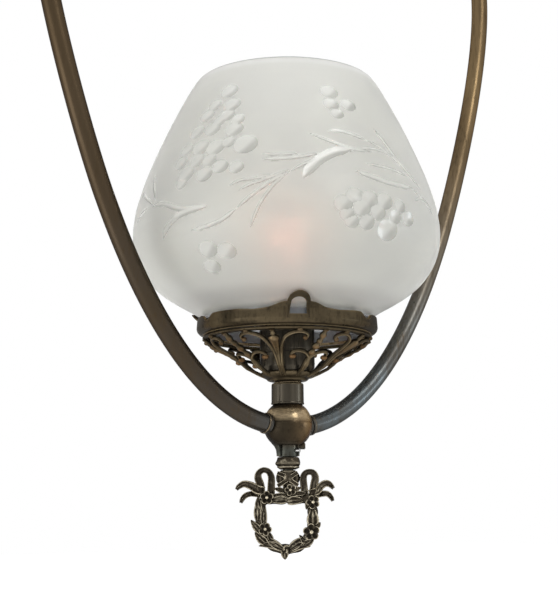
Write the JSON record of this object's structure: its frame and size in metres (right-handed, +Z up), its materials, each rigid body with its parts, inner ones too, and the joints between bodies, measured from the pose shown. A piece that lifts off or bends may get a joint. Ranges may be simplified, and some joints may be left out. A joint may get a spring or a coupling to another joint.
{
  "type": "pendant light",
  "caption": "Hoop pendant light: a tall bent tube hoop on a swivel stem holds a frosted, cut glass shade in an openwork gallery above a ball tap with a wreath key.",
  "frame": {"origin": "middle of the ceiling plate's face against the ceiling", "axes": "+Z up out of that face; the hoop lies in the X and Z plane; -Y is towards the side the wreath key shows, turned 36.8 degrees to -X"},
  "size_m": [0.3552, 0.185, 0.7245],
  "materials": {
    "tube_bronze": "satin aged bronze",
    "ball_bronze": "satin aged bronze",
    "cast_bronze": "dark cast bronze",
    "antique_bronze": "dark antique bronze, rubbed edges",
    "brass": "satin",
    "steel": "brushed",
    "white_plastic": "matte",
    "porcelain": "glazed",
    "fibre": "matte",
    "lead_brown": "matte",
    "lead_grey": "matte",
    "frosted_glass": "acid frosted with clear cut pattern",
    "bulb_glass": "clear",
    "filament": "satin"
  },
  "bodies": {
    "ceiling": {"ceiling_plate": "steel", "neck_locknut": "steel", "swivel_neck": "ball_bronze", "pivot_screw_right": "brass", "pivot_screw_left": "brass", "terminal_block": "white_plastic", "terminal_screw_live": "brass", "terminal_screw_neutral": "brass", "ceiling_lead_live": "lead_brown", "ceiling_lead_neutral": "lead_grey"},
    "canopy": {"ceiling_canopy": "tube_bronze", "canopy_ring": "ball_bronze", "canopy_set_screw": "brass"},
    "pendant": {"swivel_yoke": "ball_bronze", "stem_tube": "tube_bronze", "stem_ring": "ball_bronze", "upper_ball": "ball_bronze", "crown_ring_right": "ball_bronze", "crown_ring_left": "ball_bronze", "hoop_arm_right": "tube_bronze", "hoop_arm_left": "tube_bronze", "foot_ring_right": "ball_bronze", "foot_ring_left": "ball_bronze", "lower_ball": "ball_bronze", "gas_nipple": "brass", "nipple_collar": "cast_bronze", "gallery_basket": "cast_bronze", "gallery_band": "cast_bronze", "holder_cup": "cast_bronze", "nipple_locknut": "brass", "holder_shell": "cast_bronze", "insulating_liner": "fibre", "porcelain_base": "porcelain", "screw_socket": "brass", "centre_contact": "brass", "neutral_terminal": "brass", "lead_live": "lead_brown", "lead_neutral": "lead_grey"},
    "tap": {"tap_plug": "brass", "stop_pin": "steel", "plug_washer": "brass", "plug_screw": "brass", "key_bead": "antique_bronze", "wreath_key": "antique_bronze"},
    "shade": {"glass_shade": "frosted_glass"},
    "bulb_seat": {"bulb_contact": "steel"},
    "bulb": {"bulb_cap": "steel", "cap_button": "fibre", "bulb_glass": "bulb_glass", "filament_mount": "filament"}
  },
  "joints": [
    {"name": "swing", "type": "hinge", "parent": "ceiling", "child": "pendant", "pos_m": [0, 0, -0.088], "axis": [1, 0, 0], "range_deg": [-20, 20]},
    {"name": "canopy_slide", "type": "slide", "parent": "ceiling", "child": "canopy", "axis": [0, 0, 1], "range_m": [-0.026, 0]},
    {"name": "tap_turn", "type": "hinge", "parent": "pendant", "child": "tap", "pos_m": [0, 0, -0.6622], "axis": [0, 0, 1], "range_deg": [-90, 0]},
    {"name": "shade_lift", "type": "slide", "parent": "pendant", "child": "shade", "axis": [0, 0, 1], "range_m": [0, 0.1]},
    {"name": "bulb_rise", "type": "slide", "parent": "pendant", "child": "bulb_seat", "axis": [0, 0, 1], "range_m": [0, 0.01089]},
    {"name": "bulb_turn", "type": "hinge", "parent": "bulb_seat", "child": "bulb", "pos_m": [0, 0, -0.5992], "axis": [0, 0, 1], "range_deg": [0, 1081]}
  ],
  "couplings": [
    {"joint": "bulb_turn", "follows": "bulb_rise", "rad_per_m": 1730.9}
  ]
}
